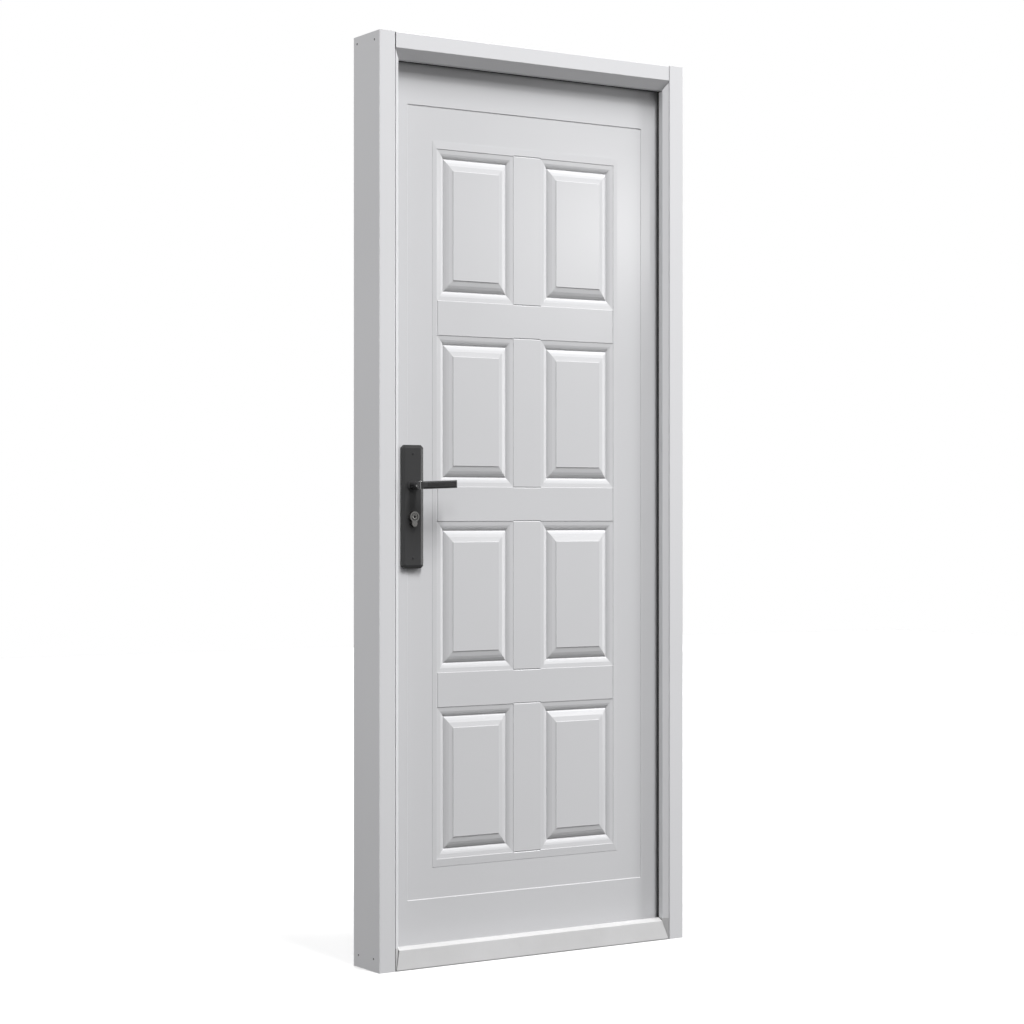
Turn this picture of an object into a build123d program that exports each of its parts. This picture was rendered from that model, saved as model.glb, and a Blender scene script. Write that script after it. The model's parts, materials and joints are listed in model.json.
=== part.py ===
from build123d import *
import os

# A steel front door with eight raised panels a side, hung in its folded steel frame.
# Millimetres, +Z up, +X to the right seen from outdoors, +Y indoors.
# The origin is on the underside of the threshold, in the middle of the frame.

# Frame
FRAME_WIDTH = 820.0
FRAME_HEIGHT = 2050.0
FRAME_DEPTH = 117.0
FRAME_SHEET = 1.5
BEND_RADIUS = 2.0
JAMB_FACE = 39.5
JAMB_LIP = 53.0
LIP_DEPTH = 25.5
LIP_SLOPE = 10.0
LIP_START = 0.8
SEAM = 1.8
SEAM_DEPTH = 3.5
HEAD_FACE = 34.5
HEAD_LIP = 58.5
HEAD_SLOPE = 13.5
HEAD_REBATE = 40.0
SILL_REBATE = 36.0
SILL_TOE = 3.0
SILL_LEAN = 9.0
SILL_NOSE = 43.5
SILL_CREST = 50.3

# Rubber seals on the back of the lips
SEAL_DEPTH = 4.5
SEAL_REACH = 0.8
SEAL_BASE = 10.0

# Leaf
LEAF_SETBACK = 36.0
LEAF_THICKNESS = 50.0
HINGE_GAP = 5.0
LOCK_GAP = 8.0
LEAF_GAP = 5.0
SKIN_SHEET = 1.5
SKIN_RETURN = 12.0
CHANNEL_SHEET = 1.5
CHANNEL_FLANGE = 30.0

# Pressed pattern, measured from the frame's left outer side and from the floor
STEP_LEFT = 92.2
STEP_RIGHT = 723.0
STEP_BOTTOM = 146.0
STEP_TOP = 1901.0
STEP_SINK = 1.2
STEP_SLOPE = 40.0
BORDER_SIDE = 10.5
BORDER_END = 17.0
BORDER_EDGE = 0.4
BORDER_RISE = 1.0
GROOVE_WIDTH = 3.6
GROOVE_DEPTH = 1.2
PANEL_LEFT = 166.0
PANEL_WIDTH = 203.0
PANEL_HEIGHT = 337.5
MULLION = 73.0
ROW_PITCH = 413.6
PANEL_BOTTOM = 231.0
ROWS = 4
MOULD_SIDE = 41.6
MOULD_END = 47.3
MOULD_DEPTH = 5.4
OVOLO_SHARE = 0.457
OVOLO_PULL = ((0.166, 0.9), (0.33, 1.8))
BEVEL_PULL = ((0.577, 1.9), (0.80, -0.9))
EDGE_SHARE = 0.012
OVOLO_FACETS = 6
BEVEL_FACETS = 4
BACK_FACETS = 2
FIELD_RISE = 2.5
FIELD_STEP = 1.0
EDGE_STEP = 0.8

# Lock and lever
LOCK_AXIS = 100.0
LOCK_MIDDLE = 1024.0
PLATE_WIDTH = 54.0
PLATE_HEIGHT = 272.0
PLATE_BOTTOM = 878.0
PLATE_THICKNESS = 9.0
PLATE_BEVEL = 7.0
PLATE_BEVEL_DEPTH = 2.0
PLATE_CORNER = 6.0
COLLAR_RADIUS = 14.0
COLLAR_PROUD = 1.5
LEVER_HEIGHT = 1061.0
CYLINDER_HEIGHT = 992.0
NECK_LENGTH = 33.0
NECK_RADIUS = 9.3
GRIP_LEFT = 9.0
GRIP_REACH = 85.0
GRIP_TALL = 17.2
GRIP_THICK = 17.0
GRIP_ROUND = 4.5
GRIP_CORNER = 9.0
GRIP_TIP = 3.0
GRIP_RISE = 2.0
INSERT_RANGE = (8.0, 79.0)
INSERT_TALL = 10.0
INSERT_DEPTH = 1.2
SPINDLE_SIDE = 8.0
SPINDLE_HOLE = 6.5
RUNNING_GAP = 0.4
CYLINDER_RADIUS = 11.5
CYLINDER_PROUD = 8.0
CYLINDER_TAIL = 33.5
CYLINDER_TAIL_WIDTH = 13.0
CYLINDER_PLAY = 0.3
PLUG_RADIUS = 7.5
PLUG_PLAY = 0.15
KEYWAY = (2.6, 7.5)

# Lock edge
FOREND_WIDTH = 22.0
FOREND_HEIGHT = 250.0
FOREND_THICKNESS = 3.0
CASE_HEIGHT = 190.0
CASE_DEPTH = 72.0
LATCH_SIZE = (13.0, 30.0)
BOLT_SIDE = 14.0
BOLT_PLAY = 1.5
BOLT_FIT = 0.4
BOLT_OFFSETS = (-93.0, -69.0, -45.0)
STRIKE_HEIGHT = 220.0
STRIKE_WIDTH = 26.0

# Barrel hinges
HINGE_HEIGHTS = {"lower": 250.0, "middle": 1025.0, "upper": 1800.0}
BARREL_RADIUS = 8.0
BARREL_LENGTH = 50.0
BARREL_GAP = 0.5
PIN_RADIUS = 5.0
PIN_PLAY = 0.08
HINGE_INSET = 10.0
HINGE_BEHIND = 10.0
LUG_THICKNESS = 6.0

# Places worked out from the dimensions above
LEAF_LEFT = JAMB_FACE + LOCK_GAP
LEAF_RIGHT = FRAME_WIDTH - JAMB_FACE - HINGE_GAP
LEAF_BOTTOM = SILL_REBATE + LEAF_GAP
LEAF_TOP = FRAME_HEIGHT - HEAD_REBATE - LEAF_GAP
LEAF_BACK = LEAF_SETBACK + LEAF_THICKNESS
LEAF_MIDDLE = LEAF_SETBACK + LEAF_THICKNESS / 2
HINGE_X = LEAF_RIGHT - HINGE_INSET
HINGE_Y = LEAF_BACK + HINGE_BEHIND

parts = {}


def across(distance):
    """X of a distance from the frame's left outer side."""
    return distance - FRAME_WIDTH / 2


def deep(distance):
    """Y of a distance behind the frame's outdoor face."""
    return distance - FRAME_DEPTH / 2


def block(x_range, y_range, z_range):
    """A block between two distances across, deep and high."""
    low = (across(x_range[0]), deep(y_range[0]), z_range[0])
    high = (across(x_range[1]), deep(y_range[1]), z_range[1])
    size = [b - a for a, b in zip(low, high)]
    return Pos(*low) * Box(*size, align=(Align.MIN, Align.MIN, Align.MIN))


def rod(radius, x, z, y_range):
    """A round bar along Y."""
    middle = (y_range[0] + y_range[1]) / 2
    return Pos(across(x), deep(middle), z) * Rot(90, 0, 0) * Cylinder(radius, y_range[1] - y_range[0])


def post(radius, x, y, z_range):
    """A round bar along Z."""
    middle = (z_range[0] + z_range[1]) / 2
    return Pos(across(x), deep(y), middle) * Cylinder(radius, z_range[1] - z_range[0])


def flip(solid):
    """The same form on the indoor side of the leaf."""
    return mirror(solid, Plane(origin=(0, deep(LEAF_MIDDLE), 0), z_dir=(0, 1, 0)))


def folded(points, sharp=()):
    """A closed outline with its bends rounded, apart from the points named sharp."""
    outline = make_face(Polyline(*points, close=True))
    bends = [v for v in outline.vertices() if all(abs(v.X - x) + abs(v.Y - y) > 0.01 for x, y in sharp)]
    return fillet(bends, BEND_RADIUS)


def plan(points):
    """A plan outline given as distances across and deep."""
    return [(across(x), deep(y)) for x, y in points]


def sheet(points, sharp=()):
    """The folded sheet that follows an outline, square on the inside of its bends."""
    inside = offset(make_face(Polyline(*points, close=True)), -FRAME_SHEET, kind=Kind.INTERSECTION)
    return folded(points, sharp) - inside


def post_points():
    """Plan of the left jamb's box."""
    return plan([(0, 0), (JAMB_FACE, 0), (JAMB_FACE, FRAME_DEPTH), (0, FRAME_DEPTH)])


def lip_points():
    """Plan of the left jamb's lip: a narrow seam beside the box, a slope and a straight return."""
    return plan([
        (JAMB_FACE, SEAM_DEPTH),
        (JAMB_FACE + SEAM, SEAM_DEPTH),
        (JAMB_FACE + SEAM, LIP_START),
        (JAMB_LIP, LIP_SLOPE),
        (JAMB_LIP, LIP_DEPTH),
        (JAMB_FACE, LIP_DEPTH),
    ])


def between_jambs(section):
    """A rail that runs from jamb to jamb, from its section in depth and height."""
    length = FRAME_WIDTH - 2 * JAMB_FACE
    return Pos(across(JAMB_FACE), 0, 0) * extrude(Plane.YZ * section, length, dir=(1, 0, 0))


def build_frame():
    """Jambs, head, threshold and the strike plate."""
    top = FRAME_HEIGHT
    head = [(deep(y), z) for y, z in [
        (0, top),
        (0, top - HEAD_FACE),
        (HEAD_SLOPE, top - HEAD_LIP),
        (LIP_DEPTH, top - HEAD_LIP),
        (LIP_DEPTH, top - HEAD_REBATE),
        (FRAME_DEPTH, top - HEAD_REBATE),
        (FRAME_DEPTH, top),
    ]]
    ends = block((JAMB_FACE, JAMB_FACE + SEAM), (0, LIP_DEPTH), (top - HEAD_LIP, top))
    ends += mirror(ends, Plane.YZ)
    parts["head_rail"] = between_jambs(sheet(head)) - ends
    jamb = extrude(sheet(post_points()), top)
    cap = extrude(folded(post_points()), FRAME_SHEET)
    jamb += cap + Pos(0, 0, top - FRAME_SHEET) * cap
    lip = lip_points()
    lip_sharp = (lip[0], lip[1], lip[2], lip[5])
    head_clear = offset(folded(head), SEAM, kind=Kind.INTERSECTION)
    jamb += extrude(sheet(lip, lip_sharp), top) - between_jambs(head_clear)
    parts["right_jamb"] = mirror(jamb, Plane.YZ)

    strike_z = (LOCK_MIDDLE - STRIKE_HEIGHT / 2, LOCK_MIDDLE + STRIKE_HEIGHT / 2)
    strike_y = (LEAF_MIDDLE - STRIKE_WIDTH / 2, LEAF_MIDDLE + STRIKE_WIDTH / 2)
    strike = block((JAMB_FACE - FRAME_SHEET, JAMB_FACE), strike_y, strike_z)
    parts["left_jamb"] = jamb - strike
    for y_size, z_size, z in latch_and_bolts():
        hole_y = (LEAF_MIDDLE - y_size / 2 - BOLT_PLAY, LEAF_MIDDLE + y_size / 2 + BOLT_PLAY)
        hole_z = (z - z_size / 2 - BOLT_PLAY, z + z_size / 2 + BOLT_PLAY)
        strike -= block((0, JAMB_LIP), hole_y, hole_z)
    parts["strike_plate"] = strike

    sill = [(deep(y), z) for y, z in [
        (0, 0),
        (0, SILL_TOE),
        (SILL_LEAN, SILL_NOSE),
        (LIP_DEPTH, SILL_CREST),
        (LIP_DEPTH, SILL_REBATE),
        (FRAME_DEPTH, SILL_REBATE),
        (FRAME_DEPTH, 0),
    ]]
    cope = extrude(offset(folded(lip, lip_sharp), SEAM, kind=Kind.INTERSECTION), 2 * SILL_CREST)
    cope += block((JAMB_FACE, JAMB_FACE + SEAM), (0, LIP_DEPTH), (0, SILL_CREST))
    cope &= block((JAMB_FACE, FRAME_WIDTH / 2), (0, LIP_DEPTH), (0, SILL_CREST))
    parts["threshold"] = between_jambs(sheet(sill)) - cope - mirror(cope, Plane.YZ)


def latch_and_bolts():
    """Width, height and centre height of the latch and the three bolts."""
    rows = [(LATCH_SIZE[0], LATCH_SIZE[1], LEVER_HEIGHT)]
    for offset_z in BOLT_OFFSETS:
        rows.append((BOLT_SIDE, BOLT_SIDE, LEVER_HEIGHT + offset_z))
    return rows


def build_seals():
    """Rubber seals that the leaf closes against."""
    seal_y = (LIP_DEPTH, LIP_DEPTH + SEAL_DEPTH)
    head_bottom = FRAME_HEIGHT - HEAD_LIP - SEAL_REACH
    foot = SILL_REBATE + BEND_RADIUS
    side = block((JAMB_LIP - SEAL_BASE, JAMB_LIP + SEAL_REACH), seal_y, (foot, head_bottom))
    tip = side.edges().filter_by(Axis.Z).sort_by(Axis.X)[-2:]
    side = fillet(tip, SEAL_DEPTH * 0.4)
    parts["left_seal"] = side
    parts["right_seal"] = mirror(side, Plane.YZ)
    end = JAMB_FACE + BEND_RADIUS
    head = block((end, FRAME_WIDTH - end), seal_y, (head_bottom, FRAME_HEIGHT - HEAD_LIP + SEAL_BASE))
    tip = head.edges().filter_by(Axis.X).sort_by(Axis.Z)[:2]
    parts["head_seal"] = fillet(tip, SEAL_DEPTH * 0.4)


def mould_points(ovolo_facets, bevel_facets):
    """The moulding as shares of its width and depths: edge step, ovolo, valley, bevel, field step."""
    start, valley = (EDGE_SHARE, EDGE_STEP), (OVOLO_SHARE, MOULD_DEPTH)
    crest, field = (1 - EDGE_SHARE, FIELD_STEP - FIELD_RISE), (1, -FIELD_RISE)
    ovolo = Bezier(start, *OVOLO_PULL, valley)
    bevel = Bezier(valley, *BEVEL_PULL, crest)
    points = [(0, 0)]
    points += [ovolo @ (step / ovolo_facets) for step in range(ovolo_facets)]
    points += [bevel @ (step / bevel_facets) for step in range(bevel_facets + 1)]
    return [tuple(point)[:2] for point in points] + [field]


def mould_side(upright):
    """The sheet along one side of a panel, mitred at both ends, its outer edge on the axis."""
    width, run, rise = (MOULD_SIDE, PANEL_HEIGHT, MOULD_END) if upright else (MOULD_END, PANEL_WIDTH, MOULD_SIDE)
    half = run / 2

    def place(inward, depth, along):
        return (inward, depth, along) if upright else (along, depth, inward)

    # The back is inside the leaf, where nothing shows, so its curves have fewer facets.
    face = [(share * width, depth) for share, depth in mould_points(OVOLO_FACETS, BEVEL_FACETS)]
    hidden = mould_points(BACK_FACETS, BACK_FACETS)
    back = [(share * width, depth + SKIN_SHEET) for share, depth in reversed(hidden)]
    section = make_face(Polyline(*[place(x, y, -half) for x, y in face + back], close=True))
    bar = extrude(section, run, dir=place(0, 0, 1))
    mitred = [(0, -half), (width, rise - half), (width, half - rise), (0, half)]
    outline = make_face(Polyline(*[place(x, 0, z) for x, z in mitred], close=True))
    return bar & extrude(outline, 2 * MOULD_DEPTH, dir=(0, 1, 0), both=True)


def pressed_panel():
    """One panel as pressed sheet: four mitred mouldings round a raised field, its middle at the origin."""
    field_x, field_z = PANEL_WIDTH - 2 * MOULD_SIDE, PANEL_HEIGHT - 2 * MOULD_END
    panel = Pos(0, SKIN_SHEET / 2 - FIELD_RISE, 0) * Box(field_x, SKIN_SHEET, field_z)
    side = Pos(-PANEL_WIDTH / 2, 0, 0) * mould_side(upright=True)
    end = Pos(0, 0, -PANEL_HEIGHT / 2) * mould_side(upright=False)
    return panel + side + mirror(side, Plane.YZ) + end + mirror(end, Plane.XY)


def raised(left, right, bottom, top, y_range, taper):
    """A low slab that stands out of the leaf from one depth to another, with sloped edges."""
    middle = (across((left + right) / 2), deep(y_range[1]), (bottom + top) / 2)
    base = Plane(origin=middle, x_dir=(1, 0, 0), z_dir=(0, -1, 0))
    outline = base * Rectangle(right - left, top - bottom)
    return extrude(outline, y_range[1] - y_range[0], taper=taper)


def panel_middles():
    """Middle of each panel, across and high."""
    middles = []
    for row in range(ROWS):
        for column in range(2):
            x = PANEL_LEFT + PANEL_WIDTH / 2 + column * (PANEL_WIDTH + MULLION)
            z = PANEL_BOTTOM + PANEL_HEIGHT / 2 + row * ROW_PITCH
            middles.append((x, z))
    return middles


def panel_zone():
    """Left, right, bottom and top of the zone that the panels fill."""
    right = PANEL_LEFT + 2 * PANEL_WIDTH + MULLION
    top = PANEL_BOTTOM + (ROWS - 1) * ROW_PITCH + PANEL_HEIGHT
    return PANEL_LEFT, right, PANEL_BOTTOM, top


def rising_band(low, high, reach):
    """A section across or along the panel zone: a small edge, then a slope up to the crest."""
    floor = LEAF_SETBACK + STEP_SINK
    edge = floor - BORDER_EDGE
    crest = floor - BORDER_RISE
    foot = LEAF_MIDDLE
    return [
        (low - reach, foot),
        (low - reach, edge),
        (low, crest),
        (high, crest),
        (high + reach, edge),
        (high + reach, foot),
    ]


def groove(x, z, length, upright):
    """A V-shaped cut in the raised block's face, centred on a point."""
    half = GROOVE_WIDTH / 2
    outline = make_face(Polyline((-half, 0), (half, 0), (0, GROOVE_DEPTH), close=True))
    cut = extrude(outline, length / 2, both=True)
    if not upright:
        cut = Rot(0, 90, 0) * cut
    return Pos(across(x), deep(LEAF_SETBACK + STEP_SINK - BORDER_RISE), z) * cut


def relief():
    """The outdoor half of the leaf as a thick slab: sunk zone, raised block for the panels, grooves in it."""
    face = LEAF_SETBACK
    solid = block((LEAF_LEFT, LEAF_RIGHT), (face, LEAF_MIDDLE), (LEAF_BOTTOM, LEAF_TOP))
    solid -= raised(STEP_LEFT, STEP_RIGHT, STEP_BOTTOM, STEP_TOP, (face, face + STEP_SINK), -STEP_SLOPE)

    left, right, bottom, top = panel_zone()
    outline = make_face(Polyline(*plan(rising_band(left, right, BORDER_SIDE)), close=True))
    border = extrude(outline, FRAME_HEIGHT)
    section = [(deep(y), z) for z, y in rising_band(bottom, top, BORDER_END)]
    border &= between_jambs(make_face(Polyline(*section, close=True)))
    solid += border

    rail = ROW_PITCH - PANEL_HEIGHT
    middle = (left + right) / 2
    for row in range(ROWS):
        low = PANEL_BOTTOM + row * ROW_PITCH
        high = low + PANEL_HEIGHT
        solid -= groove(middle, low, MULLION, upright=False)
        solid -= groove(middle, high, MULLION, upright=False)
        if row < ROWS - 1:
            solid -= groove(left + GROOVE_WIDTH / 2, high + rail / 2, rail, upright=True)
            solid -= groove(right - GROOVE_WIDTH / 2, high + rail / 2, rail, upright=True)
    return solid


def build_skins():
    """The pressed sheets on both sides of the leaf, folded back along their four edges."""
    solid = relief()
    inside = (LEAF_LEFT + SKIN_SHEET, LEAF_RIGHT - SKIN_SHEET)
    inside_z = (LEAF_BOTTOM + SKIN_SHEET, LEAF_TOP - SKIN_SHEET)
    filling = Pos(0, SKIN_SHEET, 0) * solid & block(inside, (0, FRAME_DEPTH), inside_z)
    skin = solid - filling
    skin -= block((0, FRAME_WIDTH), (LEAF_SETBACK + SKIN_RETURN, FRAME_DEPTH), (0, FRAME_HEIGHT))

    panel = pressed_panel()
    crest = LEAF_SETBACK + STEP_SINK - BORDER_RISE
    for x, z in panel_middles():
        x_range = (x - PANEL_WIDTH / 2, x + PANEL_WIDTH / 2)
        z_range = (z - PANEL_HEIGHT / 2, z + PANEL_HEIGHT / 2)
        skin -= block(x_range, (0, LEAF_MIDDLE), z_range)
        skin += Pos(across(x), deep(crest), z) * panel
    skin -= rod(SPINDLE_HOLE, LOCK_AXIS, LEVER_HEIGHT, (0, LEAF_MIDDLE))
    skin -= cylinder_profile(CYLINDER_PLAY, (0, LEAF_MIDDLE))
    parts["outer_skin"] = skin
    parts["inner_skin"] = flip(skin)


def channel(length):
    """A channel along Z with its web at X = 0, its back to -X, centred on the leaf's thickness."""
    width = LEAF_THICKNESS - 2 * SKIN_SHEET
    outer = Pos(CHANNEL_FLANGE / 2, 0) * Rectangle(CHANNEL_FLANGE, width)
    wall = CHANNEL_SHEET
    inner = Pos(wall + CHANNEL_FLANGE / 2, 0) * Rectangle(CHANNEL_FLANGE, width - 2 * wall)
    return extrude(outer - inner, length)


def build_edges():
    """Channels inside the four edges of the leaf."""
    left = LEAF_LEFT + SKIN_SHEET
    bottom = LEAF_BOTTOM + SKIN_SHEET
    top = LEAF_TOP - SKIN_SHEET
    y = deep(LEAF_MIDDLE)
    upright = channel(top - bottom)
    stile = Pos(across(left), y, bottom) * upright
    parts["hinge_stile"] = Pos(across(LEAF_RIGHT - SKIN_SHEET), y, bottom) * Rot(0, 0, 180) * upright

    length = LEAF_RIGHT - LEAF_LEFT - 2 * SKIN_SHEET - 2 * CHANNEL_FLANGE
    rail = Rot(0, 90, 0) * channel(length)
    start = across(left + CHANNEL_FLANGE)
    parts["top_rail"] = Pos(start, y, top) * rail
    parts["bottom_rail"] = Pos(start, y, bottom) * mirror(rail, Plane.XY)

    forend_z = (LOCK_MIDDLE - FOREND_HEIGHT / 2, LOCK_MIDDLE + FOREND_HEIGHT / 2)
    forend_y = (LEAF_MIDDLE - FOREND_WIDTH / 2, LEAF_MIDDLE + FOREND_WIDTH / 2)
    forend = block((LEAF_LEFT, LEAF_LEFT + FOREND_THICKNESS), forend_y, forend_z)
    parts["lock_stile"] = stile - forend
    bolts = []
    for y_size, z_size, z in latch_and_bolts():
        bolt_x = (LEAF_LEFT, LEAF_LEFT + FOREND_THICKNESS)
        bolt_y = (LEAF_MIDDLE - y_size / 2, LEAF_MIDDLE + y_size / 2)
        bolts.append(block(bolt_x, bolt_y, (z - z_size / 2, z + z_size / 2)))
        hole_y = (LEAF_MIDDLE - y_size / 2 - BOLT_FIT, LEAF_MIDDLE + y_size / 2 + BOLT_FIT)
        hole_z = (z - z_size / 2 - BOLT_FIT, z + z_size / 2 + BOLT_FIT)
        forend -= block(bolt_x, hole_y, hole_z)
    parts["lock_forend"] = forend
    parts["latch_bolt"] = bolts[0]
    parts["deadbolts"] = Compound(bolts[1:])

    case_x = (LEAF_LEFT + FOREND_THICKNESS, LEAF_LEFT + FOREND_THICKNESS + CASE_DEPTH)
    case_z = (LOCK_MIDDLE - CASE_HEIGHT / 2, LOCK_MIDDLE + CASE_HEIGHT / 2)
    case = block(case_x, forend_y, case_z)
    case -= rod(SPINDLE_HOLE, LOCK_AXIS, LEVER_HEIGHT, forend_y)
    case -= cylinder_profile(CYLINDER_PLAY, forend_y)
    parts["lock_case"] = case


def cylinder_profile(play, y_range):
    """The lock cylinder's keyhole-shaped body between two depths, with play round its curved sides."""
    tail_length = CYLINDER_TAIL + CYLINDER_TAIL_WIDTH / 2 - CYLINDER_RADIUS - CYLINDER_TAIL_WIDTH
    head = Circle(CYLINDER_RADIUS + play)
    tail = Pos(0, -tail_length / 2) * Rectangle(CYLINDER_TAIL_WIDTH, tail_length)
    toe = Pos(0, -tail_length) * Circle(CYLINDER_TAIL_WIDTH / 2 + play)
    centre = (across(LOCK_AXIS), deep(y_range[1]), CYLINDER_HEIGHT)
    base = Plane(origin=centre, x_dir=(1, 0, 0), z_dir=(0, -1, 0))
    return extrude(base * (head + tail + toe), y_range[1] - y_range[0])


def build_lock():
    """Long plates with a collar for the lever, and the keyed cylinder that shows through both."""
    front = LEAF_SETBACK - PLATE_THICKNESS
    x_range = (LOCK_AXIS - PLATE_WIDTH / 2, LOCK_AXIS + PLATE_WIDTH / 2)
    plate = block(x_range, (front, LEAF_SETBACK), (PLATE_BOTTOM, PLATE_BOTTOM + PLATE_HEIGHT))
    plate = chamfer(plate.edges().filter_by(Axis.Y), PLATE_CORNER)
    face = plate.faces().sort_by(Axis.Y)[0]
    plate = chamfer(face.edges(), PLATE_BEVEL, PLATE_BEVEL_DEPTH, reference=face)
    plate += rod(COLLAR_RADIUS, LOCK_AXIS, LEVER_HEIGHT, (front - COLLAR_PROUD, front + COLLAR_PROUD))
    plate -= rod(SPINDLE_HOLE, LOCK_AXIS, LEVER_HEIGHT, (0, LEAF_SETBACK))
    plate -= cylinder_profile(CYLINDER_PLAY, (front, LEAF_SETBACK))
    parts["outer_plate"] = plate
    parts["inner_plate"] = flip(plate)

    nose = front - CYLINDER_PROUD
    cylinder = cylinder_profile(0, (nose, 2 * LEAF_MIDDLE - nose))
    plug_y = (nose, nose + 2 * PLATE_THICKNESS)
    bore = rod(PLUG_RADIUS + PLUG_PLAY, LOCK_AXIS, CYLINDER_HEIGHT, plug_y)
    parts["lock_cylinder"] = cylinder - bore - flip(bore)
    key_x = (LOCK_AXIS - KEYWAY[0] / 2, LOCK_AXIS + KEYWAY[0] / 2)
    key_z = (CYLINDER_HEIGHT - KEYWAY[1] / 2, CYLINDER_HEIGHT + KEYWAY[1] / 2)
    plug = rod(PLUG_RADIUS, LOCK_AXIS, CYLINDER_HEIGHT, plug_y)
    plug -= block(key_x, (nose, nose + PLATE_THICKNESS), key_z)
    parts["outer_key_plug"] = plug
    parts["inner_key_plug"] = flip(plug)


def grip_bar(y_range):
    """The lever's level bar: rounded section, rounded bend at the neck and a softened tip."""
    left, right = LOCK_AXIS - GRIP_LEFT, LOCK_AXIS + GRIP_REACH
    middle = (across(left), deep(sum(y_range) / 2), LEVER_HEIGHT)
    section = Plane(origin=middle, x_dir=(0, 1, 0), z_dir=(1, 0, 0))
    bar = extrude(section * RectangleRounded(GRIP_THICK, GRIP_TALL, GRIP_ROUND), right - left)
    view = block((left, right), y_range, (LEVER_HEIGHT - GRIP_TALL, LEVER_HEIGHT + GRIP_TALL))
    uprights = view.edges().filter_by(Axis.Z)
    view = fillet(uprights.sort_by(Axis.X)[:2].sort_by(Axis.Y)[0], GRIP_CORNER)
    view = chamfer(view.edges().filter_by(Axis.Z).sort_by(Axis.X)[-2:], GRIP_TIP)
    return bar & view


def build_lever():
    """Square spindle, the two levers it turns with and the gripping strips let into them."""
    front = LEAF_SETBACK - PLATE_THICKNESS
    base = front - COLLAR_PROUD - RUNNING_GAP
    back = front - NECK_LENGTH
    face = back - GRIP_THICK
    lever = rod(NECK_RADIUS, LOCK_AXIS, LEVER_HEIGHT, (back, base))
    grip = grip_bar((face, back)) + rod(GRIP_TALL / 2, LOCK_AXIS, LEVER_HEIGHT, (back - GRIP_THICK / 2, back))
    insert_x = (LOCK_AXIS + INSERT_RANGE[0], LOCK_AXIS + INSERT_RANGE[1])
    insert_z = (LEVER_HEIGHT - INSERT_TALL / 2, LEVER_HEIGHT + INSERT_TALL / 2)
    insert = block(insert_x, (face, face + INSERT_DEPTH), insert_z)
    pivot = Pos(across(LOCK_AXIS), 0, LEVER_HEIGHT)
    rise = pivot * Rot(0, -GRIP_RISE, 0) * pivot.inverse()
    lever += rise * (grip - insert)
    parts["outer_lever"] = lever
    parts["inner_lever"] = flip(lever)
    parts["outer_grip_insert"] = rise * insert
    parts["inner_grip_insert"] = flip(rise * insert)
    half = SPINDLE_SIDE / 2
    spindle_x = (LOCK_AXIS - half, LOCK_AXIS + half)
    spindle_z = (LEVER_HEIGHT - half, LEVER_HEIGHT + half)
    parts["spindle"] = block(spindle_x, (base, 2 * LEAF_MIDDLE - base), spindle_z)


def build_hinges():
    """Barrel hinges: the lower barrel and its pin on the frame, the upper barrel on the leaf."""
    lug_y = (HINGE_Y - LUG_THICKNESS / 2, HINGE_Y + LUG_THICKNESS / 2)
    for name, z in HINGE_HEIGHTS.items():
        low = (z - BARREL_LENGTH, z)
        high = (z + BARREL_GAP, z + BARREL_GAP + BARREL_LENGTH)
        frame_barrel = post(BARREL_RADIUS, HINGE_X, HINGE_Y, low)
        lug = block((HINGE_X, FRAME_WIDTH - JAMB_FACE), lug_y, low)
        parts[f"{name}_frame_barrel"] = frame_barrel + lug
        pin_top = high[0] + BARREL_LENGTH * 0.8
        parts[f"{name}_hinge_pin"] = post(PIN_RADIUS, HINGE_X, HINGE_Y, (low[1], pin_top))
        leaf_barrel = post(BARREL_RADIUS, HINGE_X, HINGE_Y, high)
        wing = block((HINGE_X - BARREL_RADIUS, HINGE_X), (LEAF_BACK, HINGE_Y), high)
        socket = post(PIN_RADIUS + PIN_PLAY, HINGE_X, HINGE_Y, (high[0], pin_top + 1))
        parts[f"{name}_leaf_barrel"] = leaf_barrel + wing - socket


build_frame()
build_seals()
build_skins()
build_edges()
build_lock()
build_lever()
build_hinges()

os.makedirs("parts", exist_ok=True)
for name, solid in parts.items():
    export_step(solid, f"parts/{name}.step")
print(len(parts), "nodes written")
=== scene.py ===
# %% [markdown]
# A steel front door in its frame, dressed for a studio picture.
# The solid pieces come ready made and in place, in metres: +X to the right seen from outdoors,
# +Y indoors, +Z up. This script gives them their finishes, adds the small fittings that a door
# fitter would put on last, and sets up the studio.

import json
import math

import bmesh
import bpy
from mathutils import Matrix, Vector


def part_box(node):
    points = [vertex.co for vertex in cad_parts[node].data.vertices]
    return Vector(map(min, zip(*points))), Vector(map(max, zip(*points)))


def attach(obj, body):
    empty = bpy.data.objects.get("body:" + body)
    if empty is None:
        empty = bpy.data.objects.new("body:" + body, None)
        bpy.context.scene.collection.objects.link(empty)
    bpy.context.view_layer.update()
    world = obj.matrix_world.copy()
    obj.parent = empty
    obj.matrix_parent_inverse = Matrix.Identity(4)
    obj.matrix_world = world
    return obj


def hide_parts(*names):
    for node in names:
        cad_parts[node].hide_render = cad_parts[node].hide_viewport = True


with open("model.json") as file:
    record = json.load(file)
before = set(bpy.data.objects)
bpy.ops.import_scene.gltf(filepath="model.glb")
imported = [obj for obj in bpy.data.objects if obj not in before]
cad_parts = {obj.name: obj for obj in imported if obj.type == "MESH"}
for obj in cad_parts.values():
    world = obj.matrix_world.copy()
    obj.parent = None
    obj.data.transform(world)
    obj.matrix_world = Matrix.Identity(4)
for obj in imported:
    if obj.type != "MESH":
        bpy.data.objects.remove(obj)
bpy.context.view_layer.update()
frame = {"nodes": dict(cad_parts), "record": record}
nodes = frame["nodes"]
scene = bpy.context.scene
print("pieces loaded:", len(nodes))

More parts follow.
